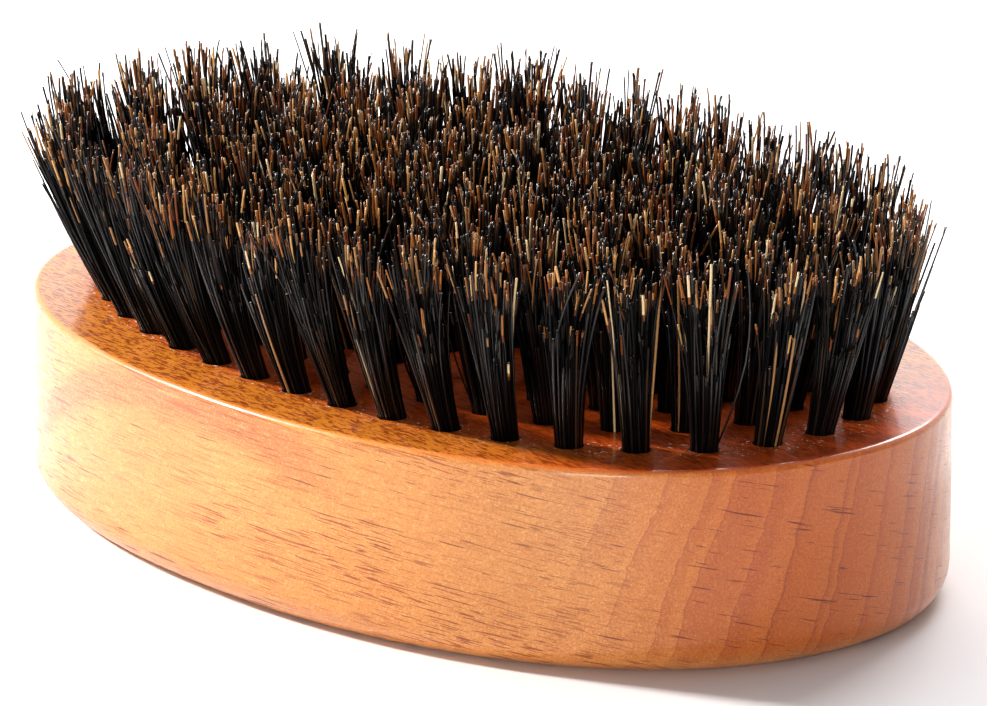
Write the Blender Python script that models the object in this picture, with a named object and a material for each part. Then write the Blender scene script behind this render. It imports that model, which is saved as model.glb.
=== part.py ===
"""Palm beard brush: an oval hardwood block, tufts of boar bristle, and the wire anchors that hold them.

Metres, +Z up. The block's length lies along X, and its flat underside rests on Z = 0. Each tuft stands in
a blind hole of its own and leans outwards, more towards the rim, and all of them are cropped level.
The outer row's tufts are separate objects. The tufts of the inner rows, whose tips mingle, are joined in
runs along each row.
"""

import math

import bmesh
import bpy
from mathutils import Vector

LENGTH = 0.100
WIDTH = 0.066
BLOCK_HEIGHT = 0.0185
OUTLINE_POWER = 2.15  # 2 would be an ellipse
OUTLINE_STEPS = 84
TOP_EDGE_RADIUS = 0.0006
BASE_EDGE_RADIUS = 0.0032

TRIM_HEIGHT = 0.0365  # where the bristles are cropped, above the underside
END_ROW_INSET = 0.0064  # the outer row's feet, from the ends of the block's outline
SIDE_ROW_INSET = 0.0075  # and from its sides
ROW_STEP = 0.0064
TUFT_PITCH = 0.0060
FAN = 0.0042  # how far the outer row's tips stand outside their feet
RUNS_IN_ROW = (0, 4, 4, 2)  # joined runs in each row from the outside; the outer row's tufts are single

HOLE_DEPTH = 0.009
HOLE_RADIUS = 0.00125
ROUND_SIDES = 8
TUFT_FOOT_RADIUS = 0.0011
TUFT_TIP_RADIUS = 0.0022
MINGLED_WIDTH = 0.0024  # the tips of a run mingle in a band this wide
MINGLED_TOP = 0.0005  # below the trim height
MINGLED_BASE = 0.0045

ANCHOR_WIDTH = 0.0019
ANCHOR_HEIGHT = 0.0016
ANCHOR_THICKNESS = 0.0004
ANCHOR_EVERY = 4  # one outer tuft in four has its anchor as an object
CLEARANCE = 0.0003

BRISTLE_LENGTH = TRIM_HEIGHT - BLOCK_HEIGHT
OUTER_ROW_SEMI_AXES = (LENGTH / 2 - END_ROW_INSET, WIDTH / 2 - SIDE_ROW_INSET)
ANCHOR_BASE = CLEARANCE - HOLE_DEPTH
TUFT_BASE = ANCHOR_BASE + ANCHOR_HEIGHT + CLEARANCE

WOOD = ("lacquered_wood", (0.60, 0.33, 0.15), 0.35, 0.0)
BRISTLE = ("black_bristle", (0.020, 0.016, 0.013), 0.4, 0.0)
STEEL = ("anchor_wire", (0.55, 0.54, 0.52), 0.35, 1.0)


def clear_scene():
    for obj in list(bpy.data.objects):
        bpy.data.objects.remove(obj)


def make_material(name, colour, roughness, metallic):
    material = bpy.data.materials.new(name)
    material.use_nodes = True
    shader = material.node_tree.nodes["Principled BSDF"]
    shader.inputs["Base Color"].default_value = (*colour, 1.0)
    shader.inputs["Roughness"].default_value = roughness
    shader.inputs["Metallic"].default_value = metallic
    material.diffuse_color = (*colour, 1.0)
    return material


def make_object(name, bm, material, place=(0.0, 0.0, 0.0)):
    """A new object from bm, its round sides shaded smooth and its edges sharp."""
    bmesh.ops.recalc_face_normals(bm, faces=bm.faces)
    mesh = bpy.data.meshes.new(name)
    bm.to_mesh(mesh)
    bm.free()
    mesh.materials.append(material)
    for polygon in mesh.polygons:
        polygon.use_smooth = True
    mesh.set_sharp_from_angle(angle=math.radians(50))
    obj = bpy.data.objects.new(name, mesh)
    obj.location = place
    bpy.context.scene.collection.objects.link(obj)
    return obj


def hide_helper(obj):
    obj.hide_render = True
    obj.display_type = "WIRE"


def add_boolean(obj, operation, other):
    modifier = obj.modifiers.new(operation.lower(), "BOOLEAN")
    modifier.operation = operation
    modifier.solver = "EXACT"
    modifier.object = other
    hide_helper(other)


def oval_point(semi_x, semi_y, angle):
    """A point of the superellipse with these semi-axes."""
    c = math.cos(angle)
    s = math.sin(angle)
    return Vector((
        math.copysign(semi_x * abs(c) ** (2 / OUTLINE_POWER), c),
        math.copysign(semi_y * abs(s) ** (2 / OUTLINE_POWER), s),
    ))


def even_oval(semi_x, semi_y, count, phase=0.0):
    """count points at equal distances round the oval, the first one phase of a step past the +X end."""
    samples = 2880
    points = [oval_point(semi_x, semi_y, math.tau * i / samples) for i in range(samples + 1)]
    run = [0.0]
    for before, after in zip(points, points[1:]):
        run.append(run[-1] + (after - before).length)
    chosen = []
    i = 0
    for k in range(count):
        target = run[-1] * (k + phase) / count
        while run[i + 1] < target:
            i += 1
        share = (target - run[i]) / (run[i + 1] - run[i])
        chosen.append(points[i].lerp(points[i + 1], share))
    return chosen


def oval_length(semi_x, semi_y):
    points = even_oval(semi_x, semi_y, 360)
    return sum((points[i] - points[i - 1]).length for i in range(len(points)))


def add_rings(bm, rings):
    """Joins rings of the same number of points, from the lowest up, and caps both ends."""
    loops = [[bm.verts.new(point) for point in ring] for ring in rings]
    for low, high in zip(loops, loops[1:]):
        for i in range(len(low)):
            j = (i + 1) % len(low)
            bm.faces.new((low[i], low[j], high[j], high[i]))
    bm.faces.new(reversed(loops[0]))
    bm.faces.new(loops[-1])


def lean_at(foot):
    """How far a tuft with this foot moves sideways for each metre that it rises."""
    scale = FAN / BRISTLE_LENGTH
    return Vector((foot.x / OUTER_ROW_SEMI_AXES[0], foot.y / OUTER_ROW_SEMI_AXES[1])) * scale


def leaning_rings(lean, levels):
    """Level rings of ROUND_SIDES points about a leaning line through the origin, one for each (z, radius)."""
    rings = []
    for z, radius in levels:
        centre = lean * z
        ring = []
        for i in range(ROUND_SIDES):
            angle = math.tau * (i + 0.5) / ROUND_SIDES
            ring.append((centre.x + radius * math.cos(angle), centre.y + radius * math.sin(angle), z))
        rings.append(ring)
    return rings


def placed(rings, foot):
    return [[(x + foot.x, y + foot.y, z + BLOCK_HEIGHT) for x, y, z in ring] for ring in rings]


def tuft_rings(foot):
    """A tuft about its foot: straight in its hole, then spreading up to the trim height."""
    levels = (
        (TUFT_BASE, TUFT_FOOT_RADIUS),
        (CLEARANCE, TUFT_FOOT_RADIUS),
        (BRISTLE_LENGTH, TUFT_TIP_RADIUS),
    )
    return leaning_rings(lean_at(foot), levels)


def tuft_rows():
    """The feet of each row's tufts, from the outer row in, then those of the straight middle row."""
    rows = []
    for k in range(len(RUNS_IN_ROW)):
        semi_x = OUTER_ROW_SEMI_AXES[0] - k * ROW_STEP
        semi_y = OUTER_ROW_SEMI_AXES[1] - k * ROW_STEP
        count = 2 * round(oval_length(semi_x, semi_y) / TUFT_PITCH / 2)
        rows.append(even_oval(semi_x, semi_y, count, 0.5 * (1 - k % 2)))
    reach = OUTER_ROW_SEMI_AXES[0] - len(RUNS_IN_ROW) * ROW_STEP
    half = round(reach / TUFT_PITCH)
    rows.append([Vector((TUFT_PITCH * i, 0.0)) for i in range(-half, half + 1)])
    return rows


def edge_levels():
    """(height, inset) of the block's outline from the underside up, with both edges rounded."""
    levels = []
    base_steps = 5
    for i in range(base_steps + 1):
        turn = math.pi / 2 * i / base_steps
        levels.append((BASE_EDGE_RADIUS * (1 - math.cos(turn)), BASE_EDGE_RADIUS * (1 - math.sin(turn))))
    top_steps = 2
    for i in range(top_steps + 1):
        turn = math.pi / 2 * i / top_steps
        drop = TOP_EDGE_RADIUS * (1 - math.sin(turn))
        levels.append((BLOCK_HEIGHT - drop, TOP_EDGE_RADIUS * (1 - math.cos(turn))))
    return levels


def make_block(material, rows):
    bm = bmesh.new()
    rings = []
    for z, inset in edge_levels():
        ring = even_oval(LENGTH / 2 - inset, WIDTH / 2 - inset, OUTLINE_STEPS)
        rings.append([(point.x, point.y, z) for point in ring])
    add_rings(bm, rings)
    block = make_object("block", bm, material)
    drills = bmesh.new()
    for row in rows:
        for foot in row:
            levels = ((-HOLE_DEPTH, HOLE_RADIUS), (0.001, HOLE_RADIUS))
            add_rings(drills, placed(leaning_rings(lean_at(foot), levels), foot))
    add_boolean(block, "DIFFERENCE", make_object("drills", drills, material))


def make_single_tufts(material, row):
    for number, foot in enumerate(row, 1):
        bm = bmesh.new()
        add_rings(bm, tuft_rings(foot))
        make_object(f"outer_tuft_{number:02}", bm, material, (foot.x, foot.y, BLOCK_HEIGHT))


def mingled_band(bm, feet):
    """A band through the tips of the tufts with these feet, from the first one's middle to the last one's."""
    low = TRIM_HEIGHT - MINGLED_BASE
    high = TRIM_HEIGHT - MINGLED_TOP
    sections = []
    for i, foot in enumerate(feet):
        along = (feet[min(i + 1, len(feet) - 1)] - feet[max(i - 1, 0)]).normalized()
        side = Vector((-along.y, along.x)) * (MINGLED_WIDTH / 2)
        corners = []
        for z, way in ((low, -1), (low, 1), (high, 1), (high, -1)):
            point = foot + lean_at(foot) * (z - BLOCK_HEIGHT) + side * way
            corners.append((point.x, point.y, z))
        sections.append(corners)
    add_rings(bm, sections)


def make_run(name, material, feet):
    """Neighbouring tufts of an inner row as one solid, joined where their tips mingle."""
    bm = bmesh.new()
    mingled_band(bm, feet)
    run = make_object(name, bm, material)
    tufts = bmesh.new()
    for foot in feet:
        add_rings(tufts, placed(tuft_rings(foot), foot))
    add_boolean(run, "UNION", make_object(f"{name}_tufts", tufts, material))


def make_inner_tufts(material, rows):
    row_names = ("second", "third", "fourth")
    for row_name, runs, row in zip(row_names, RUNS_IN_ROW[1:], rows[1:]):
        for i in range(runs):
            feet = row[len(row) * i // runs : len(row) * (i + 1) // runs]
            make_run(f"{row_name}_row_tufts_{i + 1}", material, feet)
    make_run("middle_row_tufts", material, rows[-1])


def make_anchor(name, material, foot):
    """A flat piece of wire on edge in the bottom of a hole, across the tuft folded over it."""
    lean = lean_at(foot)
    across = Vector((-lean.y, lean.x)).normalized()
    through = Vector((across.y, -across.x))
    point_width = ANCHOR_WIDTH * 0.6  # its driven edge is narrower
    levels = (
        (ANCHOR_BASE, point_width),
        (ANCHOR_BASE + ANCHOR_HEIGHT * 0.3, ANCHOR_WIDTH),
        (ANCHOR_BASE + ANCHOR_HEIGHT, ANCHOR_WIDTH),
    )
    rings = []
    for z, width in levels:
        ring = []
        for u, v in ((-1, -1), (1, -1), (1, 1), (-1, 1)):
            point = lean * z + across * (u * width / 2) + through * (v * ANCHOR_THICKNESS / 2)
            ring.append((point.x, point.y, z))
        rings.append(ring)
    bm = bmesh.new()
    add_rings(bm, rings)
    make_object(name, bm, material, (foot.x, foot.y, BLOCK_HEIGHT))


def make_anchors(material, row):
    for number in range(1, len(row) + 1, ANCHOR_EVERY):
        make_anchor(f"anchor_{number:02}", material, row[number - 1])


def main():
    clear_scene()
    wood = make_material(*WOOD)
    bristle = make_material(*BRISTLE)
    steel = make_material(*STEEL)
    rows = tuft_rows()
    make_block(wood, rows)
    make_single_tufts(bristle, rows[0])
    make_inner_tufts(bristle, rows)
    make_anchors(steel, rows[0])


main()
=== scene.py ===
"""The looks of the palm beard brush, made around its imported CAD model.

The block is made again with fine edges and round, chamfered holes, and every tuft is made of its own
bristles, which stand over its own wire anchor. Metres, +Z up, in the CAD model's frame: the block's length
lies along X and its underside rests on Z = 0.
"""

import math

import bpy
import numpy as np
from mathutils import Matrix, Vector
from mathutils.geometry import delaunay_2d_cdt


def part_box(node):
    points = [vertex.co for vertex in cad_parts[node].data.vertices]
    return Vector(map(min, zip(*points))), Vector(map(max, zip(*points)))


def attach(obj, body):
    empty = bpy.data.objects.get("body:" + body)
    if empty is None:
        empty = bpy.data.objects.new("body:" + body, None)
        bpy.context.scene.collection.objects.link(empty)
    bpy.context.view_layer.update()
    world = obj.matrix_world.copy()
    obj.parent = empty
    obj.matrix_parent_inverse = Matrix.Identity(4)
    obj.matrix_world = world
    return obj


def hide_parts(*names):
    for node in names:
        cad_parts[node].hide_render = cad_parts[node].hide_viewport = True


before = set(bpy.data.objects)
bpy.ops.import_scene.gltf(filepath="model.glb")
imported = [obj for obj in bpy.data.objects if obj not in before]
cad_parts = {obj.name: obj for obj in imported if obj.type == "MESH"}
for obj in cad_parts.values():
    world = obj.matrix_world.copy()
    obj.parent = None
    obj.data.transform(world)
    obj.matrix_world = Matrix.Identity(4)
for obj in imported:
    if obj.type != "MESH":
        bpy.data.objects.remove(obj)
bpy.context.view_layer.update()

MM = 0.001
BLOCK_LOW, BLOCK_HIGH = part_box("block")
LENGTH = BLOCK_HIGH.x - BLOCK_LOW.x
WIDTH = BLOCK_HIGH.y - BLOCK_LOW.y
TOP = BLOCK_HIGH.z
TRIM_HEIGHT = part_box("outer_tuft_01")[1].z
BRISTLE_LENGTH = TRIM_HEIGHT - TOP

# The tufts' layout, by the same rule as the CAD model's.
OUTLINE_POWER = 2.15
FINE_STEPS = 2880  # of the outline from which even points are taken
LENGTH_STEPS = 360  # of the outline whose length is measured
END_ROW_INSET = 6.4 * MM
SIDE_ROW_INSET = 7.5 * MM
ROW_STEP = 6.4 * MM
TUFT_PITCH = 6.0 * MM
ROW_NAMES = ("outer", "second", "third", "fourth", "middle")
RUNS_IN_ROW = (0, 4, 4, 2)  # the CAD model's nodes in each round row; in the outer one, every tuft is a node
HOLE_LEAN = 4.2 * MM / BRISTLE_LENGTH  # sideways for each metre down, at the outer row
HOLE_DEPTH = 9.0 * MM
HOLE_RADIUS = 1.25 * MM
OUTER_ROW = (LENGTH / 2 - END_ROW_INSET, WIDTH / 2 - SIDE_ROW_INSET)
ANCHOR_EVERY = 4  # tufts of the outer row, for each anchor that is a node of the CAD model

# The block's fine shape.
OUTLINE_STEPS = 320
TOP_EDGE_RADIUS = 0.6 * MM
TOP_EDGE_STEPS = 6
BASE_EDGE_RADIUS = 3.2 * MM
BASE_EDGE_STEPS = 12
HOLE_SIDES = 24
HOLE_CHAMFER = 0.12 * MM
RIM_WIDTH = 0.25 * MM  # the flat ring between the top edge's round and the triangles of the top face
FLAT_INSET = 1.0 * MM  # of the underside's face, inside the round of its edge
SHARP_ANGLE = math.radians(38)
SAME_POINT = 1e-9  # points of the top face that are closer than this are joined

# The bristles.
BRISTLES_IN_TUFT = 98
BRISTLE_RADIUS = 0.112 * MM
BRISTLE_SIDES = 5
HAIR_RADII = (0.050 * MM, 0.042 * MM, 0.020 * MM)  # of a split end
FOOT_RADIUS = 1.16 * MM
SPREAD_RADIUS = 2.80 * MM  # of a tuft's tips
SUNK_DEPTH = 6.7 * MM
FAN = 4.1 * MM  # how far the outer row's tips stand outside their feet
SWEEP = (-0.6 * MM, -0.7 * MM)  # all the tips have settled a little to one side
FAN_BEND = 1.55  # 1 is a straight lean; more bends the tuft upright towards its tips
# Heights of a bristle's rings, closer near its end, where its tone changes.
SHAFT_STEPS = (0.0, 0.16, 0.32, 0.48, 0.62, 0.72, 0.79, 0.84, 0.88, 0.92, 0.96, 1.0)
SHORTEST = 0.42  # of the full length
TUFT_STRAYING = 0.45 * MM  # of a whole tuft's tips
BRISTLE_STRAYING = 0.90 * MM  # of one bristle's tip
STRAY_SHARE = 0.07  # bristles that stray further and are more bowed
BOW = 0.08 * MM
GOLDEN_ANGLE = math.pi * (3 - math.sqrt(5))

RANDOM = np.random.default_rng(1931)


# ---------------------------------------------------------------- layout

def oval(semi_x, semi_y, count):
    """count + 1 points of the superellipse, the last one on the first."""
    angle = np.linspace(0.0, math.tau, count + 1)
    c = np.cos(angle)
    s = np.sin(angle)
    power = 2 / OUTLINE_POWER
    x = semi_x * np.sign(c) * np.abs(c) ** power
    y = semi_y * np.sign(s) * np.abs(s) ** power
    return np.stack([x, y], axis=1)


def even_oval(semi_x, semi_y, count, phase=0.0):
    """count points at equal distances round the oval, the first one phase of a step past the +X end."""
    points = oval(semi_x, semi_y, FINE_STEPS)
    run = np.concatenate([[0.0], np.cumsum(np.linalg.norm(np.diff(points, axis=0), axis=1))])
    target = run[-1] * (np.arange(count) + phase) / count
    return np.stack([np.interp(target, run, points[:, 0]), np.interp(target, run, points[:, 1])], axis=1)


def oval_length(semi_x, semi_y):
    points = even_oval(semi_x, semi_y, LENGTH_STEPS)
    return np.linalg.norm(points - np.roll(points, 1, axis=0), axis=1).sum()


def tuft_rows():
    """The feet of each row's tufts, from the outer row in, then those of the straight middle row."""
    rows = []
    for k in range(len(RUNS_IN_ROW)):
        semi_x = OUTER_ROW[0] - k * ROW_STEP
        semi_y = OUTER_ROW[1] - k * ROW_STEP
        count = 2 * round(oval_length(semi_x, semi_y) / TUFT_PITCH / 2)
        rows.append(even_oval(semi_x, semi_y, count, 0.5 * (1 - k % 2)))
    reach = OUTER_ROW[0] - len(RUNS_IN_ROW) * ROW_STEP
    half = round(reach / TUFT_PITCH)
    rows.append(np.array([(TUFT_PITCH * i, 0.0) for i in range(-half, half + 1)]))
    return rows


def outward(foot):
    """Nought at the block's centre, and about one long at the outer row."""
    return np.asarray(foot) / OUTER_ROW


# ---------------------------------------------------------------- shader nodes

class Shader:
    """A material's node tree, with short ways to add the nodes that its patterns are made of."""

    def __init__(self, name):
        self.material = bpy.data.materials.new(name)
        self.material.use_nodes = True
        self.tree = self.material.node_tree
        self.surface = self.tree.nodes["Principled BSDF"]

    def node(self, kind, **settings):
        made = self.tree.nodes.new("ShaderNode" + kind)
        for setting, value in settings.items():
            setattr(made, setting, value)
        return made

    def feed(self, socket, value):
        """Links a socket to the value if it's an output of another node, and sets it otherwise."""
        if isinstance(value, bpy.types.NodeSocket):
            self.tree.links.new(value, socket)
        elif hasattr(value, "__len__") and len(value) == 3 and len(socket.default_value) == 4:
            socket.default_value = (*value, 1.0)
        else:
            socket.default_value = value

    def set(self, **inputs):
        """Feeds the Principled BSDF's inputs, named with _ for a space."""
        for name, value in inputs.items():
            self.feed(self.surface.inputs[name.replace("_", " ")], value)

    def math(self, operation, *values):
        made = self.node("Math", operation=operation)
        for socket, value in zip(made.inputs, values):
            self.feed(socket, value)
        return made.outputs[0]

    def place(self, scale, shift=(0.0, 0.0, 0.0)):
        """The point's place on the object in millimetres, stretched by scale along each axis."""
        made = self.node("VectorMath", operation="MULTIPLY_ADD")
        self.feed(made.inputs[0], self.node("TexCoord").outputs["Object"])
        self.feed(made.inputs[1], tuple(s / MM for s in scale))
        self.feed(made.inputs[2], shift)
        return made.outputs[0]

    def noise(self, place, detail=2.0, roughness=0.5, distortion=0.0):
        made = self.node("TexNoise")
        self.feed(made.inputs["Vector"], place)
        self.feed(made.inputs["Scale"], 1.0)
        self.feed(made.inputs["Detail"], detail)
        self.feed(made.inputs["Roughness"], roughness)
        self.feed(made.inputs["Distortion"], distortion)
        return made.outputs["Fac"]

    def between(self, value, low, high, out_low=0.0, out_high=1.0):
        """The value, taken smoothly from low..high to out_low..out_high."""
        made = self.node("MapRange", interpolation_type="SMOOTHSTEP")
        for socket, setting in zip(made.inputs, (value, low, high, out_low, out_high)):
            self.feed(socket, setting)
        return made.outputs[0]

    def mix(self, share, first, second, blend="MIX"):
        made = self.node("Mix", data_type="RGBA", blend_type=blend)
        self.feed(made.inputs[0], share)
        self.feed(made.inputs[6], first)
        self.feed(made.inputs[7], second)
        return made.outputs[2]

    def ramp(self, value, stops):
        made = self.node("ValToRGB")
        elements = made.color_ramp.elements
        while len(elements) < len(stops):
            elements.new(1.0)
        for element, (at, colour) in zip(elements, stops):
            element.position = at
            element.color = (*colour, 1.0)
        self.feed(made.inputs[0], value)
        return made.outputs[0]

    def bump(self, height, distance, strength=1.0, under=None):
        made = self.node("Bump")
        self.feed(made.inputs["Strength"], strength)
        self.feed(made.inputs["Distance"], distance)
        self.feed(made.inputs["Height"], height)
        if under is not None:
            self.feed(made.inputs["Normal"], under)
        return made.outputs["Normal"]


def tone(*levels):
    """A linear colour from the 0 to 255 tones of a colour picker."""
    shares = [level / 255 for level in levels]
    return tuple(v / 12.92 if v < 0.0404 else ((v + 0.055) / 1.055) ** 2.4 for v in shares)


# ---------------------------------------------------------------- wood

PALE_WOOD = tone(226, 152, 80)
MID_WOOD = tone(211, 134, 66)
RED_WOOD = tone(196, 114, 60)
RING_LINE = tone(142, 72, 38)
PORE = tone(116, 38, 12)
RAY = tone(136, 52, 16)
TOP_LINE = tone(136, 46, 10)
PALE_FIBRE = tone(246, 190, 116)
STIPPLE = tone(176, 96, 46)
# painted glints: bright flecks that stand in for light glinting in the lacquered wood
PAINTED_GLINT = tone(252, 206, 140)
SPECK = tone(255, 246, 236)
END_STAIN = tone(228, 180, 136)  # end grain takes the stain deeper
TOP_STAIN_AND_SHADE = tone(255, 227, 138)  # the top face takes the stain deeper, and is darkened further as painted shade and reflection of the dark bristles over it
TUFT_SHADE = tone(236, 160, 96)  # painted shade: darker among the tufts and towards the +X end, where the tufts shade the top face
LINE_STRENGTH = 0.85  # of the rays and the top face's lines over the wood
RING_NORMAL = (0.02, 0.966, -0.259)  # the growth rings stand steeply across the block, and run along it
RAY_NORMAL = (0.0, 0.259, 0.966)
RING_WIDTH = 3.0 * MM
RED_SHEET_NORMAL = (0.0, 0.854, 0.520)  # one redder layer comes out of the front wall, near the top
RED_SHEET_DEPTH = -19.3 * MM
RED_SHEET_REACH = (-38.0 * MM, 24.0 * MM)  # along X
RED_SHEET_FADES = (10.0 * MM, 14.0 * MM)  # at its -X and +X ends
TUFT_SHADE_START = (24.0 * MM, 46.0 * MM)  # along X: none of the painted shade before the first, all of it past the second


def along(shader, way):
    """How far each point lies along a direction, in millimetres."""
    made = shader.node("VectorMath", operation="DOT_PRODUCT")
    shader.feed(made.inputs[0], shader.place((1.0, 1.0, 1.0)))
    shader.feed(made.inputs[1], way)
    return made.outputs["Value"]


def across_layers(shader, along_x, through_rings, along_rings, shift):
    """A place stretched along X, through the growth rings and along them, so patterns follow the wood."""
    made = shader.node("CombineXYZ")
    ways = ((1.0, 0.0, 0.0), RING_NORMAL, RAY_NORMAL)
    for socket, way, scale in zip(made.inputs, ways, (along_x, through_rings, along_rings)):
        shader.feed(socket, shader.math("MULTIPLY_ADD", along(shader, way), scale, shift))
    return made.outputs[0]


def ring_pattern(shader):
    """How far across its growth ring each point lies, from 0 to 1, with rings of uneven width."""
    warp = shader.noise(shader.place((0.012, 0.05, 0.05)), detail=1.0)
    crinkle = shader.noise(shader.place((0.2, 0.5, 0.5)), detail=3.0, roughness=0.6)
    depth = shader.math("MULTIPLY_ADD", warp, 3.0, along(shader, RING_NORMAL))
    depth = shader.math("MULTIPLY_ADD", crinkle, 0.9, depth)
    spacing = shader.node("TexNoise", noise_dimensions="1D")
    shader.feed(spacing.inputs["W"], shader.math("MULTIPLY", depth, 0.30))
    shader.feed(spacing.inputs["Scale"], 1.0)
    uneven = shader.math("MULTIPLY_ADD", spacing.outputs["Fac"], 7.0, depth)
    return shader.math("FRACT", shader.math("DIVIDE", uneven, RING_WIDTH / MM))


def red_sheet(shader):
    """The share of the redder layer, which fades out towards both ends."""
    depth = shader.math("SUBTRACT", along(shader, RED_SHEET_NORMAL), RED_SHEET_DEPTH / MM)
    waver = shader.noise(shader.place((0.05, 0.2, 0.3), (4.0, 4.0, 4.0)), detail=2.0)
    depth = shader.math("ADD", depth, shader.math("MULTIPLY_ADD", waver, 1.2, -0.6))
    share = shader.between(shader.math("ABSOLUTE", depth), 0.3, 1.5, 1.0, 0.0)
    x = along(shader, (1.0, 0.0, 0.0))
    low, high = (end / MM for end in RED_SHEET_REACH)
    low_fade, high_fade = (fade / MM for fade in RED_SHEET_FADES)
    share = shader.math("MULTIPLY", share, shader.between(x, low, low + low_fade))
    return shader.math("MULTIPLY", share, shader.between(x, high - high_fade, high, 1.0, 0.0))


def oval_measure(shader):
    """0 at the middle of the brush, 1 on the line of the outer row's tufts, and more outside it."""
    total = 0.0
    for way, reach in (((1.0, 0.0, 0.0), OUTER_ROW[0]), ((0.0, 1.0, 0.0), OUTER_ROW[1])):
        part = shader.math("DIVIDE", shader.math("ABSOLUTE", along(shader, way)), reach / MM)
        total = shader.math("ADD", shader.math("POWER", part, OUTLINE_POWER), total)
    return total


def near_outer_row(shader):
    """1 in the band of the top face where the outer row's holes are, and 0 away from it."""
    away = shader.math("ABSOLUTE", shader.math("SUBTRACT", oval_measure(shader), 1.02))
    return shader.between(away, 0.08, 0.20, 1.0, 0.0)


def painted_tuft_shade(shader):
    """The share of the painted shade of the tufts: 1 among them and towards the +X end of the top face."""
    among = shader.between(oval_measure(shader), 0.95, 1.25, 1.0, 0.0)
    low, high = (end / MM for end in TUFT_SHADE_START)
    towards_end = shader.between(along(shader, (1.0, 0.0, 0.0)), low, high)
    return shader.math("MAXIMUM", among, towards_end)


def facing(shader):
    """0 to 1: how far the surface is end grain, nearly square to the grain, facing up and flat on top."""
    parts = shader.node("SeparateXYZ")
    shader.feed(parts.inputs[0], shader.node("NewGeometry").outputs["Normal"])
    lengthways = shader.math("ABSOLUTE", parts.outputs["X"])
    end_grain = shader.between(lengthways, 0.52, 0.86)
    square = shader.between(lengthways, 0.58, 1.0)
    upward = shader.between(parts.outputs["Z"], 0.3, 0.95)
    flat = shader.between(parts.outputs["Z"], 0.93, 0.995)
    return end_grain, square, upward, flat


def layers(shader, end_grain):
    """The growth rings, clearest in the end grain, over soft bands, with the redder layer."""
    stops = (
        (0.0, MID_WOOD), (0.42, PALE_WOOD), (0.56, PALE_WOOD),
        (0.60, RING_LINE), (0.64, RED_WOOD), (1.0, MID_WOOD),
    )
    ringed = shader.ramp(ring_pattern(shader), stops)
    soft = shader.noise(shader.place((0.022, 0.12, 0.16)), detail=3.0, roughness=0.55)
    banded = shader.mix(shader.between(soft, 0.35, 0.75, 0.0, 0.8), PALE_WOOD, MID_WOOD)
    colour = shader.mix(shader.math("MULTIPLY_ADD", end_grain, 0.72, 0.10), banded, ringed)
    return shader.mix(red_sheet(shader), colour, RED_WOOD)


def with_fibre(shader, colour, fibre, upward):
    """Red and pale fibres along the grain, a fine darker stipple, and bright flecks that are painted glints.
    """
    reddened = shader.math("MULTIPLY_ADD", upward, -0.6, 1.0)
    reddened = shader.math("MULTIPLY", reddened, shader.between(fibre, 0.30, 0.75, 0.0, 0.45))
    colour = shader.mix(reddened, colour, RED_WOOD)
    pale = shader.noise(shader.place((0.10, 3.0, 3.0), (3.0, 8.0, 1.0)), detail=3.0, roughness=0.6)
    colour = shader.mix(shader.between(pale, 0.50, 0.80, 0.0, 0.40), colour, PALE_FIBRE)
    stipple = shader.noise(shader.place((4.0, 6.0, 6.0), (1.0, 2.0, 6.0)), detail=2.0, roughness=0.7)
    colour = shader.mix(shader.between(stipple, 0.46, 0.64, 0.0, 0.42), colour, STIPPLE)
    # painted glints in bright flecks
    glints = shader.noise(shader.place((4.0, 6.0, 6.0), (7.0, 5.0, 1.0)), detail=2.0, roughness=0.7)
    return shader.mix(shader.between(glints, 0.50, 0.68, 0.0, 0.28), colour, PAINTED_GLINT)


def ray_shares(shader, end_grain):
    """(short dashes, which crowd in places and fade in the end grain; a few longer ones)."""
    crowded = shader.noise(shader.place((0.03, 0.10, 0.10), (1.0, 9.0, 4.0)), detail=2.0)
    crowded = shader.between(crowded, 0.34, 0.60, 0.25, 1.0)
    short_place = across_layers(shader, 0.24, 0.60, 7.5, 3.0)
    short = shader.noise(short_place, detail=2.0, roughness=0.4, distortion=0.35)
    short = shader.math("MULTIPLY", shader.between(short, 0.565, 0.63), crowded)
    short = shader.math("MULTIPLY", short, shader.math("MULTIPLY_ADD", end_grain, -0.85, 1.0))
    long_place = across_layers(shader, 0.15, 0.24, 5.0, 8.0)
    long = shader.noise(long_place, detail=2.0, roughness=0.4, distortion=0.3)
    return short, shader.between(long, 0.66, 0.725)


def stained_and_shaded(shader, colour, square, upward):
    """The colour under the stain, which the end grain and the top face take deeper; the top face also gets
    painted shade, darkest among the tufts and towards the +X end.
    """
    colour = shader.mix(square, colour, shader.mix(1.0, colour, END_STAIN, "MULTIPLY"))
    # the top face: deeper stain, with painted shade and reflection of the dark bristles over it
    top = shader.mix(1.0, colour, TOP_STAIN_AND_SHADE, "MULTIPLY")
    # painted shade of the tufts over the top face, darkest among them and towards the +X end
    top = shader.mix(painted_tuft_shade(shader), top, shader.mix(1.0, top, TUFT_SHADE, "MULTIPLY"))
    return shader.mix(upward, colour, top)


def speck_share(shader, upward):
    """Pale specks on the lacquer round the outer row's holes."""
    speck = shader.noise(shader.place((2.6, 2.6, 2.6), (9.0, 9.0, 2.0)), detail=1.0, roughness=0.6)
    allowed = shader.math("MULTIPLY", near_outer_row(shader), upward)
    return shader.math("MULTIPLY", shader.between(speck, 0.66, 0.70), allowed)


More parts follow.
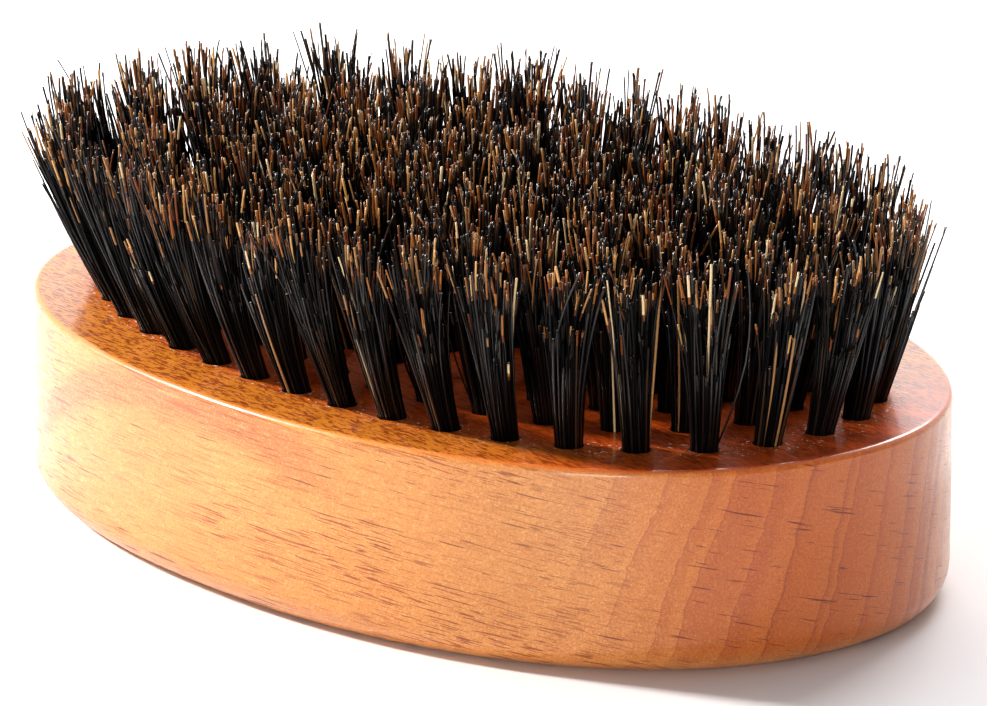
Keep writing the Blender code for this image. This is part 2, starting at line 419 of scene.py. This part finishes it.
def wood_colour(shader):
    """Growth rings, soft bands, fibre, rays and lines. Returns (colour, height of the surface's relief)."""
    end_grain, square, upward, flat = facing(shader)
    sideways = shader.math("SUBTRACT", 1.0, upward)
    fibre = shader.noise(shader.place((0.40, 7.0, 7.0)), detail=3.0, roughness=0.65)
    colour = with_fibre(shader, layers(shader, end_grain), fibre, upward)

    short_ray, long_ray = ray_shares(shader, end_grain)
    on_wall = shader.math("MULTIPLY", sideways, LINE_STRENGTH)
    colour = shader.mix(shader.math("MULTIPLY", short_ray, on_wall), colour, RAY)
    colour = shader.mix(shader.math("MULTIPLY", long_ray, on_wall), colour, PORE)
    rays = shader.math("MULTIPLY", shader.math("MAXIMUM", short_ray, long_ray), sideways)

    top_place = shader.place((1.0, 5.0, 1.0), (5.0, 1.0, 7.0))
    top_line = shader.noise(top_place, detail=1.0, distortion=0.2)
    top_line = shader.math("MULTIPLY", shader.between(top_line, 0.50, 0.57), flat)
    colour = stained_and_shaded(shader, colour, square, upward)
    colour = shader.mix(shader.math("MULTIPLY", top_line, LINE_STRENGTH), colour, TOP_LINE)
    speck = speck_share(shader, upward)
    colour = shader.mix(speck, colour, SPECK)

    hollow = shader.math("MAXIMUM", rays, shader.math("MULTIPLY", top_line, 0.3))
    relief = shader.math("MULTIPLY_ADD", fibre, 0.35, shader.math("MULTIPLY", hollow, -0.25))
    return colour, shader.math("ADD", relief, speck)


def lacquered_wood():
    shader = Shader("lacquered_wood")
    colour, relief = wood_colour(shader)
    ripple = shader.noise(shader.place((0.15, 0.5, 0.5), (2.0, 2.0, 2.0)), detail=2.0)
    gloss = shader.noise(shader.place((0.4, 0.9, 0.9), (6.0, 0.0, 3.0)), detail=2.0)
    waves = shader.bump(ripple, 0.05 * MM, 0.5)
    shader.set(
        Base_Color=colour,
        Roughness=shader.between(gloss, 0.3, 0.7, 0.30, 0.42),
        Normal=shader.bump(relief, 0.05 * MM, 0.6, waves),
        Specular_IOR_Level=0.25,
        Coat_Weight=0.50,
        Coat_Roughness=0.14,
        Coat_IOR=1.5,
    )
    return shader.material


def shaded_hole_wood():
    """The drilled holes' walls, which the lacquer hardly reaches, coloured darker as painted shade inside
    the holes.
    """
    shader = Shader("drilled_wood_in_shade")
    torn = shader.noise(shader.place((2.0, 2.0, 5.0)), detail=3.0, roughness=0.7)
    # the ramp's dark tones are painted shade inside the holes
    stops = ((0.25, tone(70, 34, 16)), (0.6, tone(128, 70, 34)), (0.85, tone(196, 140, 92)))
    shader.set(Base_Color=shader.ramp(torn, stops), Roughness=0.75)
    return shader.material


def quarter_turn(steps):
    """Angles from nought to a right angle, in even steps."""
    return [math.pi / 2 * i / steps for i in range(steps + 1)]


def edge_levels():
    """(height, inset) of the block's outline from the underside up, with both edges rounded."""
    levels = []
    for turn in quarter_turn(BASE_EDGE_STEPS):
        height = BASE_EDGE_RADIUS * (1 - math.cos(turn))
        levels.append((height, BASE_EDGE_RADIUS * (1 - math.sin(turn))))
    for turn in quarter_turn(TOP_EDGE_STEPS):
        height = TOP - TOP_EDGE_RADIUS * (1 - math.sin(turn))
        levels.append((height, TOP_EDGE_RADIUS * (1 - math.cos(turn))))
    return levels


def strip(first, second, count):
    """Quads between two rings of count points whose numbers start at first and second."""
    i = np.arange(count)
    j = (i + 1) % count
    return np.stack([first + i, first + j, second + j, second + i], axis=1).tolist()


def level_ring(points, z):
    return np.column_stack([points, np.full(len(points), z)])


def block_wall():
    """Points and faces of the block's underside and wall, up to a flat rim just inside its top edge."""
    underside = (0.0, BASE_EDGE_RADIUS + FLAT_INSET)
    rim = (TOP, TOP_EDGE_RADIUS + RIM_WIDTH)
    rings = []
    for z, inset in [underside] + edge_levels() + [rim]:
        outline = even_oval(LENGTH / 2 - inset, WIDTH / 2 - inset, OUTLINE_STEPS)
        rings.append(level_ring(outline, z))
    faces = []
    for k in range(len(rings) - 1):
        faces += strip(k * OUTLINE_STEPS, (k + 1) * OUTLINE_STEPS, OUTLINE_STEPS)
    faces.append(list(range(OUTLINE_STEPS))[::-1])
    return np.concatenate(rings), faces


def hole_rings(foot):
    """A hole's rings from its chamfered mouth down, leaning outwards as it is drilled."""
    turn = math.tau * np.arange(HOLE_SIDES) / HOLE_SIDES
    circle = np.stack([np.cos(turn), np.sin(turn)], axis=1)
    lean = outward(foot) * HOLE_LEAN
    mouth = (0.0, HOLE_RADIUS + HOLE_CHAMFER)
    rings = []
    for depth, radius in (mouth, (HOLE_CHAMFER, HOLE_RADIUS), (HOLE_DEPTH, HOLE_RADIUS)):
        rings.append(level_ring(foot - lean * depth + circle * radius, TOP - depth))
    return rings


def top_face(rim_points, holes):
    """Triangles between the rim and the holes' mouths, as numbers into rim_points and then the mouths."""
    loops = [rim_points] + [rings[0][:, :2] for rings in holes]
    edges = []
    start = 0
    for loop in loops:
        count = len(loop)
        edges += [(start + i, start + (i + 1) % count) for i in range(count)]
        start += count
    corners = [Vector(point) for point in np.concatenate(loops)]
    _, _, triangles, origins, _, _ = delaunay_2d_cdt(corners, edges, [], 0, SAME_POINT)
    owner = np.concatenate([np.full(len(loop), number) for number, loop in enumerate(loops)])
    faces = []
    for triangle in triangles:
        face = [origins[v][0] for v in triangle]
        owners = set(owner[face])
        in_a_hole = len(owners) == 1 and owners != {0}
        if not in_a_hole:
            faces.append(face)
    return faces


def block_mesh(rows):
    """The block's points, faces and the faces' materials: 0 for the outside, 1 for the holes' walls."""
    points, faces = block_wall()
    slots = [0] * len(faces)
    holes = [hole_rings(foot) for row in rows for foot in row]
    rim_start = len(points) - OUTLINE_STEPS
    mouth_start = len(points)
    mouths = np.concatenate([rings[0] for rings in holes])
    top = top_face(points[rim_start:, :2], holes)
    faces += [[rim_start + v for v in face] for face in top]
    slots += [0] * len(top)
    start = mouth_start + len(mouths)
    deep = []
    for number, rings in enumerate(holes):
        mouth = mouth_start + number * HOLE_SIDES
        deep += rings[1:]
        walls = strip(start, mouth, HOLE_SIDES) + strip(start + HOLE_SIDES, start, HOLE_SIDES)
        faces += walls + [list(range(start + HOLE_SIDES, start + 2 * HOLE_SIDES))]
        slots += [1] * (len(walls) + 1)
        start += 2 * HOLE_SIDES
    return np.concatenate([points, mouths] + deep), faces, slots


def build_block(rows, materials):
    points, faces, slots = block_mesh(rows)
    mesh = bpy.data.meshes.new("brush_block")
    mesh.from_pydata(points.tolist(), [], faces)
    mesh.polygons.foreach_set("material_index", slots)
    for material in materials:
        mesh.materials.append(material)
    mesh.shade_smooth()
    mesh.set_sharp_from_angle(angle=SHARP_ANGLE)
    block = bpy.data.objects.new("brush_block", mesh)
    bpy.context.scene.collection.objects.link(block)
    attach(block, "root")
    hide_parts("block")


# ---------------------------------------------------------------- bristles

BRISTLE_TONES = {
    "jet": (8, 7, 7),
    "charcoal": (15, 13, 12),
    "black_brown": (28, 20, 16),
    "dark_brown": (58, 37, 23),
    "red_brown": (114, 59, 29),
    "amber": (158, 97, 45),
    "tan": (156, 112, 70),
    "golden": (212, 160, 98),
    "cream": (222, 194, 148),
    # a pale end cap, painted as a glint of light
    "glinting_end": (208, 178, 140),
}
TONE_NUMBER = {name: number for number, name in enumerate(BRISTLE_TONES)}
SHAFT_SHARES = {
    "jet": 0.60, "charcoal": 0.28, "black_brown": 0.08, "dark_brown": 0.02, "tan": 0.012, "cream": 0.010,
}
TIP_SHARES = {
    "jet": 0.20, "charcoal": 0.09, "black_brown": 0.15, "dark_brown": 0.15, "red_brown": 0.14, "amber": 0.13,
    "tan": 0.08, "golden": 0.08, "cream": 0.02,
}
GLOSS = {"jet": (0.02, 0.10), "charcoal": (0.22, 0.64), "black_brown": (0.10, 0.40)}  # least and most
OTHER_GLOSS = (0.10, 0.34)
SHORT_HEIGHT = 0.76  # of the full length: most shorter bristles have lost their natural, paler tips
CUT_SHARE = 0.72  # of the shorter bristles
GLINT_END_SHARE = 0.22  # bristles whose end cap is painted pale: a painted glint of light on the cut end
SPLIT_SHARE = 0.22


def bristle_material(name, colour):
    """One tone of bristle. The tone is even, as the shafts are thin; the gloss changes from tuft to tuft."""
    shader = Shader("bristle_" + name)
    scales = shader.noise(shader.place((0.25, 0.25, 0.08)), detail=1.0)
    shader.set(
        Base_Color=tone(*colour),
        Roughness=0.28,
        Specular_IOR_Level=shader.between(scales, 0.3, 0.7, *GLOSS.get(name, OTHER_GLOSS)),
        Anisotropic=0.3,
    )
    return shader.material


def pick(shares, count):
    """count tone numbers, drawn by their shares."""
    names = list(shares)
    weights = np.array([shares[name] for name in names])
    drawn = RANDOM.choice(len(names), size=count, p=weights / weights.sum())
    return np.array([TONE_NUMBER[name] for name in names])[drawn]


def tubes(paths, radii, tones, sides=BRISTLE_SIDES):
    """Closed tubes along paths (tubes, steps, 3) with radii (tubes, steps) and tones (tubes, steps + 1).

    The tones are the foot cap's, each stretch's and the end cap's. Returns points, the faces' point numbers
    in one row, the faces' sizes and their tones.
    """
    count, steps, _ = paths.shape
    turn = math.tau * (np.arange(sides) + 0.5) / sides
    circle = np.stack([np.cos(turn), np.sin(turn), np.zeros(sides)], axis=1)
    points = paths[:, :, None, :] + radii[:, :, None, None] * circle
    first = (np.arange(count) * steps * sides)[:, None, None]
    ring = (np.arange(steps - 1) * sides)[None, :, None]
    i = np.arange(sides)[None, None, :]
    j = (i + 1) % sides
    low = first + ring
    high = low + sides
    quads = np.stack([low + i, low + j, high + j, high + i], axis=-1)
    foot_caps = first[:, 0] + np.arange(sides)[::-1]
    end_caps = first[:, 0] + (steps - 1) * sides + np.arange(sides)
    corners = np.concatenate([quads.ravel(), foot_caps.ravel(), end_caps.ravel()])
    sizes = np.concatenate([np.full(quads.size // 4, 4), np.full(2 * count, sides)])
    face_tones = np.concatenate([np.repeat(tones[:, 1:-1].ravel(), sides), tones[:, 0], tones[:, -1]])
    return points.reshape(-1, 3), corners, sizes, face_tones


def mesh_of(name, batches, materials):
    """One smooth-shaded mesh object from several batches of tubes."""
    mesh = bpy.data.meshes.new(name)
    starts = np.cumsum([0] + [len(batch[0]) for batch in batches])
    points = np.concatenate([batch[0] for batch in batches])
    corners = np.concatenate([batch[1] + start for batch, start in zip(batches, starts)])
    sizes = np.concatenate([batch[2] for batch in batches])
    mesh.vertices.add(len(points))
    mesh.vertices.foreach_set("co", points.astype(np.float32).ravel())
    mesh.loops.add(len(corners))
    mesh.loops.foreach_set("vertex_index", corners.astype(np.int32))
    mesh.polygons.add(len(sizes))
    mesh.polygons.foreach_set("loop_start", (np.cumsum(sizes) - sizes).astype(np.int32))
    slots = np.concatenate([batch[3] for batch in batches])
    mesh.polygons.foreach_set("material_index", slots.astype(np.int32))
    for material in materials:
        mesh.materials.append(material)
    mesh.update(calc_edges=True)
    mesh.shade_smooth()
    made = bpy.data.objects.new(name, mesh)
    bpy.context.scene.collection.objects.link(made)
    return made


def bristle_heights(foot, spiral, ring):
    """How high each bristle of a tuft stands: trimmed unevenly, and worn shorter on three of its sides."""
    count = len(spiral)
    trimmed = 1.0 - RANDOM.uniform(0.0, 0.07)
    height = trimmed - 0.13 * RANDOM.random(count) - 0.36 * RANDOM.random(count) ** 2.4
    facing_out = math.atan2(foot[1], foot[0])
    edge = min(1.0, float(np.hypot(*outward(foot))))
    worn_sides = (
        (facing_out + RANDOM.normal(0.0, 0.5), 0.38 * edge),
        (RANDOM.uniform(0, math.tau), RANDOM.uniform(0.04, 0.26)),
        (RANDOM.uniform(0, math.tau), RANDOM.uniform(0.04, 0.26)),
    )
    for side, lost in worn_sides:
        nearness = np.cos(spiral - side) * ring
        height -= np.where(nearness > 0.52, lost, 0.0) * RANDOM.random(count) ** 0.6
    return np.maximum(height, SHORTEST) * BRISTLE_LENGTH


def tuft_paths(foot):
    """The paths (bristles, steps, 3) of one tuft's bristles, from the bottom of its hole to their tips."""
    count = BRISTLES_IN_TUFT + int(RANDOM.integers(-8, 9))
    spiral = np.arange(count) * GOLDEN_ANGLE + RANDOM.uniform(0, math.tau)
    ring = np.sqrt((np.arange(count) + 0.5) / count)
    way = np.stack([np.cos(spiral), np.sin(spiral)], axis=1)
    foot_offset = way * (ring * FOOT_RADIUS)[:, None]
    height = bristle_heights(foot, spiral, ring)

    spread = SPREAD_RADIUS * RANDOM.uniform(0.85, 1.12)
    tip_offset = way * (ring * spread)[:, None] + RANDOM.normal(0.0, TUFT_STRAYING, 2)
    straying = RANDOM.normal(0.0, BRISTLE_STRAYING, (count, 2))
    stray = RANDOM.random(count) < STRAY_SHARE
    straying[stray] *= 2.0
    bow = RANDOM.normal(0.0, BOW, (count, 2))
    bow[stray] *= 5.0

    z = height[:, None] * np.array(SHAFT_STEPS)
    rise = z / BRISTLE_LENGTH
    lean = outward(foot) * FAN + SWEEP
    shift = 1 - (1 - np.minimum(rise, 1.0)) ** FAN_BEND
    way_out = foot_offset[:, None] + (tip_offset - foot_offset)[:, None] * (rise ** 1.15)[..., None]
    strayed = straying[:, None] * (rise ** 2.3)[..., None]
    bowed = bow[:, None] * np.sin(math.pi * rise)[..., None]
    flat = np.asarray(foot) + lean * shift[..., None] + way_out + strayed + bowed
    paths = np.concatenate([flat, TOP + z[..., None]], axis=2)
    sunk = np.asarray(foot) - outward(foot) * HOLE_LEAN * SUNK_DEPTH + foot_offset * 0.9
    sunk = np.column_stack([sunk, np.full(count, TOP - SUNK_DEPTH)])
    return np.concatenate([sunk[:, None], paths], axis=1)


def bristle_tones(paths):
    """Tones (bristles, steps + 1): black shafts that turn browner or paler by steps near their ends, with
    some end caps painted pale as glints.
    """
    count = len(paths)
    stretches = len(SHAFT_STEPS)
    shaft = pick(SHAFT_SHARES, count)
    tip = pick(TIP_SHARES, count)
    short = paths[:, -1, 2] - TOP < SHORT_HEIGHT * BRISTLE_LENGTH
    cut = short & (RANDOM.random(count) < CUT_SHARE)
    tip[cut] = np.minimum(tip[cut], TONE_NUMBER["black_brown"])
    pale = shaft >= TONE_NUMBER["tan"]
    tip[pale] = np.maximum(tip[pale], shaft[pale])
    turns_at = RANDOM.integers(stretches - 5, stretches - 1, count)
    turns_over = RANDOM.choice([1, 2, 3], count)
    step = np.arange(stretches + 2)[None, :]
    progress = np.clip((step - turns_at[:, None]) / turns_over[:, None], 0.0, 1.0)
    tones = np.rint(shaft[:, None] + (tip - shaft)[:, None] * progress).astype(int)
    # painted glints: these bristles' end caps take the pale tone
    has_glint = RANDOM.random(count) < GLINT_END_SHARE
    tones[has_glint, -1] = TONE_NUMBER["glinting_end"]
    return tones


def split_ends(paths, tones):
    """Three thin hairs where a bristle's natural end has split."""
    split = np.flatnonzero(RANDOM.random(len(paths)) < SPLIT_SHARE)
    batches = []
    for _ in range(3):
        end = paths[split, -1]
        start = paths[split, -3]
        turn = RANDOM.uniform(0, math.tau, len(split))
        reach = RANDOM.uniform(0.10, 0.30, len(split)) * MM
        rise = RANDOM.uniform(-0.2, 0.7, len(split)) * MM
        apart = np.stack([np.cos(turn) * reach, np.sin(turn) * reach, rise], axis=1)
        path = np.stack([start, (start + end) / 2 + apart * 0.2, end + apart], axis=1)
        radii = np.tile(np.array(HAIR_RADII), (len(split), 1))
        hair_tones = np.repeat(tones[split, -2][:, None], 4, axis=1)
        batches.append(tubes(path, radii, hair_tones, 3))
    return batches


def build_tuft(name, foot, nodes, materials):
    paths = tuft_paths(foot)
    count = len(paths)
    tones = bristle_tones(paths)
    thickness = BRISTLE_RADIUS * RANDOM.uniform(0.76, 1.12, count)
    taper = RANDOM.choice([0.60, 0.82, 1.0], count, p=[0.25, 0.35, 0.4])
    along = np.concatenate([[0.0], np.array(SHAFT_STEPS)])
    radii = thickness[:, None] * (1 + (taper[:, None] - 1) * along ** 1.6)
    batches = [tubes(paths, radii, tones)] + split_ends(paths, tones)
    tuft = mesh_of(name, batches, materials)
    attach(tuft, "root")
    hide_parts(*nodes)


# ---------------------------------------------------------------- anchors

ANCHOR_WIDTH = 1.9 * MM
ANCHOR_HEIGHT = 1.6 * MM
ANCHOR_THICKNESS = 0.4 * MM
ANCHOR_BASE = 8.7 * MM  # below the top face
ANCHOR_ROUNDING = 0.06 * MM


def anchor_wire():
    shader = Shader("anchor_wire")
    drawn = shader.noise(shader.place((4.0, 4.0, 40.0)), detail=2.0)
    shader.set(
        Base_Color=tone(196, 192, 184),
        Metallic=1.0,
        Roughness=0.36,
        Specular_IOR_Level=shader.between(drawn, 0.3, 0.7, 0.4, 0.6),
    )
    return shader.material


def build_anchor(name, foot, nodes, material):
    """A flat piece of wire on edge in the bottom of a hole, its corners rounded, below the tuft's bristles.
    """
    lean = outward(foot) * HOLE_LEAN
    length = np.linalg.norm(lean)
    through = lean / length if length > 1e-9 else np.array([1.0, 0.0])
    across = np.array([-through[1], through[0]])
    outline = (
        (-0.30, 0.0), (0.30, 0.0), (0.46, 0.22), (0.50, 0.34), (0.50, 0.86), (0.42, 1.0),
        (-0.42, 1.0), (-0.50, 0.86), (-0.50, 0.34), (-0.46, 0.22),
    )
    points = []
    for side in (-0.5, 0.5):
        for u, v in outline:
            z = v * ANCHOR_HEIGHT - ANCHOR_BASE
            flat = foot + lean * z + across * (u * ANCHOR_WIDTH) + through * (side * ANCHOR_THICKNESS)
            points.append((*flat, TOP + z))
    count = len(outline)
    faces = [list(range(count))[::-1], list(range(count, 2 * count))]
    faces += strip(0, count, count)
    mesh = bpy.data.meshes.new(name)
    mesh.from_pydata(points, [], faces)
    mesh.materials.append(material)
    anchor = bpy.data.objects.new(name, mesh)
    bpy.context.scene.collection.objects.link(anchor)
    bevel = anchor.modifiers.new("rounded_edges", "BEVEL")
    bevel.width = ANCHOR_ROUNDING
    bevel.segments = 2
    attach(anchor, "root")
    if nodes:
        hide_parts(*nodes)


# ---------------------------------------------------------------- floor, lights and camera

FLOOR_REACH = 6.0  # metres each way


def build_floor():
    shader = Shader("pale_floor")
    cloud = shader.noise(shader.place((0.01, 0.01, 0.01)), detail=2.0)
    shader.set(
        Base_Color=shader.mix(shader.between(cloud, 0.3, 0.7), (0.79, 0.77, 0.78), (0.84, 0.83, 0.84)),
        Roughness=0.8,
    )
    corners = [(x * FLOOR_REACH, y * FLOOR_REACH, 0.0) for x, y in ((-1, -1), (1, -1), (1, 1), (-1, 1))]
    mesh = bpy.data.meshes.new("floor")
    mesh.from_pydata(corners, [], [(0, 1, 2, 3)])
    mesh.materials.append(shader.material)
    floor = bpy.data.objects.new("floor", mesh)
    bpy.context.scene.collection.objects.link(floor)


def softbox(name, place, size, power, colour=(1.0, 1.0, 1.0)):
    """A square soft light that faces the brush."""
    lamp = bpy.data.lights.new(name, "AREA")
    lamp.size = size
    lamp.energy = power
    lamp.color = colour
    light = bpy.data.objects.new(name, lamp)
    light.location = place
    light.rotation_euler = (Vector((0, 0, TOP)) - Vector(place)).to_track_quat("-Z", "Y").to_euler()
    light.visible_camera = False
    bpy.context.scene.collection.objects.link(light)


BACKDROP_WAY = (-0.78, 0.56, 0.28)  # the studio is brightest behind the brush
BACKDROP_EDGE = -0.1  # cosine of the angle from that way, where the world begins to brighten
WORLD_DIM = 0.13
WORLD_BRIGHT = 1.50


def light_world():
    world = bpy.data.worlds.new("studio")
    world.use_nodes = True
    tree = world.node_tree
    share = tree.nodes.new("ShaderNodeVectorMath")
    share.operation = "DOT_PRODUCT"
    share.inputs[1].default_value = BACKDROP_WAY
    tree.links.new(tree.nodes.new("ShaderNodeTexCoord").outputs["Generated"], share.inputs[0])
    strength = tree.nodes.new("ShaderNodeMapRange")
    strength.interpolation_type = "SMOOTHSTEP"
    strength.inputs["From Min"].default_value = BACKDROP_EDGE
    strength.inputs["To Min"].default_value = WORLD_DIM
    strength.inputs["To Max"].default_value = WORLD_BRIGHT
    tree.links.new(share.outputs["Value"], strength.inputs["Value"])
    background = tree.nodes["Background"]
    background.inputs["Color"].default_value = (1.0, 1.0, 1.0, 1.0)
    tree.links.new(strength.outputs["Result"], background.inputs["Strength"])
    bpy.context.scene.world = world


def light_scene():
    """The end softbox is the key, the side one lights the long wall, and the others the top and back."""
    light_world()
    softbox("end_softbox", (-0.88, -0.53, 0.66), 0.12, 27.0, (1.0, 0.98, 0.95))
    softbox("side_softbox", (0.56, -0.76, 0.14), 0.38, 4.6, (1.0, 0.985, 0.96))
    softbox("back_softbox", (-0.28, 0.36, 0.42), 0.35, 2.2)
    softbox("top_softbox", (-0.45, 0.75, 0.75), 0.4, 5.0)


CAMERA_YAW = -0.906  # from +Y towards +X
CAMERA_PITCH = 0.270
CAMERA_ROLL = 0.007
CAMERA_PLACE = Vector((613.4, -479.7, 231.9)) * MM
CAMERA_LENS = 328.0  # millimetres, as is the sensor's width
CAMERA_SENSOR = 36.0


def place_camera():
    forward = Vector((
        math.sin(CAMERA_YAW) * math.cos(CAMERA_PITCH),
        math.cos(CAMERA_YAW) * math.cos(CAMERA_PITCH),
        -math.sin(CAMERA_PITCH),
    ))
    right = Vector((math.cos(CAMERA_YAW), -math.sin(CAMERA_YAW), 0.0))
    up = right.cross(forward)
    lens = bpy.data.cameras.new("camera")
    lens.lens = CAMERA_LENS
    lens.sensor_width = CAMERA_SENSOR
    lens.clip_start = 0.01
    camera = bpy.data.objects.new("camera", lens)
    c = math.cos(CAMERA_ROLL)
    s = math.sin(CAMERA_ROLL)
    turned_right = right * c + up * s
    turned_up = up * c - right * s
    turned = Matrix((turned_right, turned_up, -forward)).transposed()
    camera.matrix_world = Matrix.Translation(CAMERA_PLACE) @ turned.to_4x4()
    bpy.context.scene.collection.objects.link(camera)
    bpy.context.scene.camera = camera


# ---------------------------------------------------------------- the brush

def tuft_node(k, i, count):
    """The CAD model's node that holds the i-th of a row's count tufts."""
    if ROW_NAMES[k] == "outer":
        return f"outer_tuft_{i + 1:02}"
    if ROW_NAMES[k] == "middle":
        return "middle_row_tufts"
    runs = RUNS_IN_ROW[k]
    run = next(r for r in range(runs) if i < count * (r + 1) // runs)
    return f"{ROW_NAMES[k]}_row_tufts_{run + 1}"


def build_tufts(rows):
    materials = [bristle_material(name, colour) for name, colour in BRISTLE_TONES.items()]
    for k, (row_name, row) in enumerate(zip(ROW_NAMES, rows)):
        for i, foot in enumerate(row):
            nodes = [tuft_node(k, i, len(row))]
            build_tuft(f"{row_name}_bristles_{i + 1:02}", foot, nodes, materials)


def build_anchors(rows):
    wire = anchor_wire()
    for row_name, row in zip(ROW_NAMES, rows):
        for i, foot in enumerate(row):
            has_node = row_name == "outer" and i % ANCHOR_EVERY == 0
            nodes = [f"anchor_{i + 1:02}"] if has_node else []
            build_anchor(f"{row_name}_anchor_{i + 1:02}", foot, nodes, wire)


rows = tuft_rows()
build_block(rows, (lacquered_wood(), shaded_hole_wood()))
build_tufts(rows)
build_anchors(rows)
build_floor()
light_scene()
place_camera()
bpy.context.scene.view_settings.view_transform = "Standard"
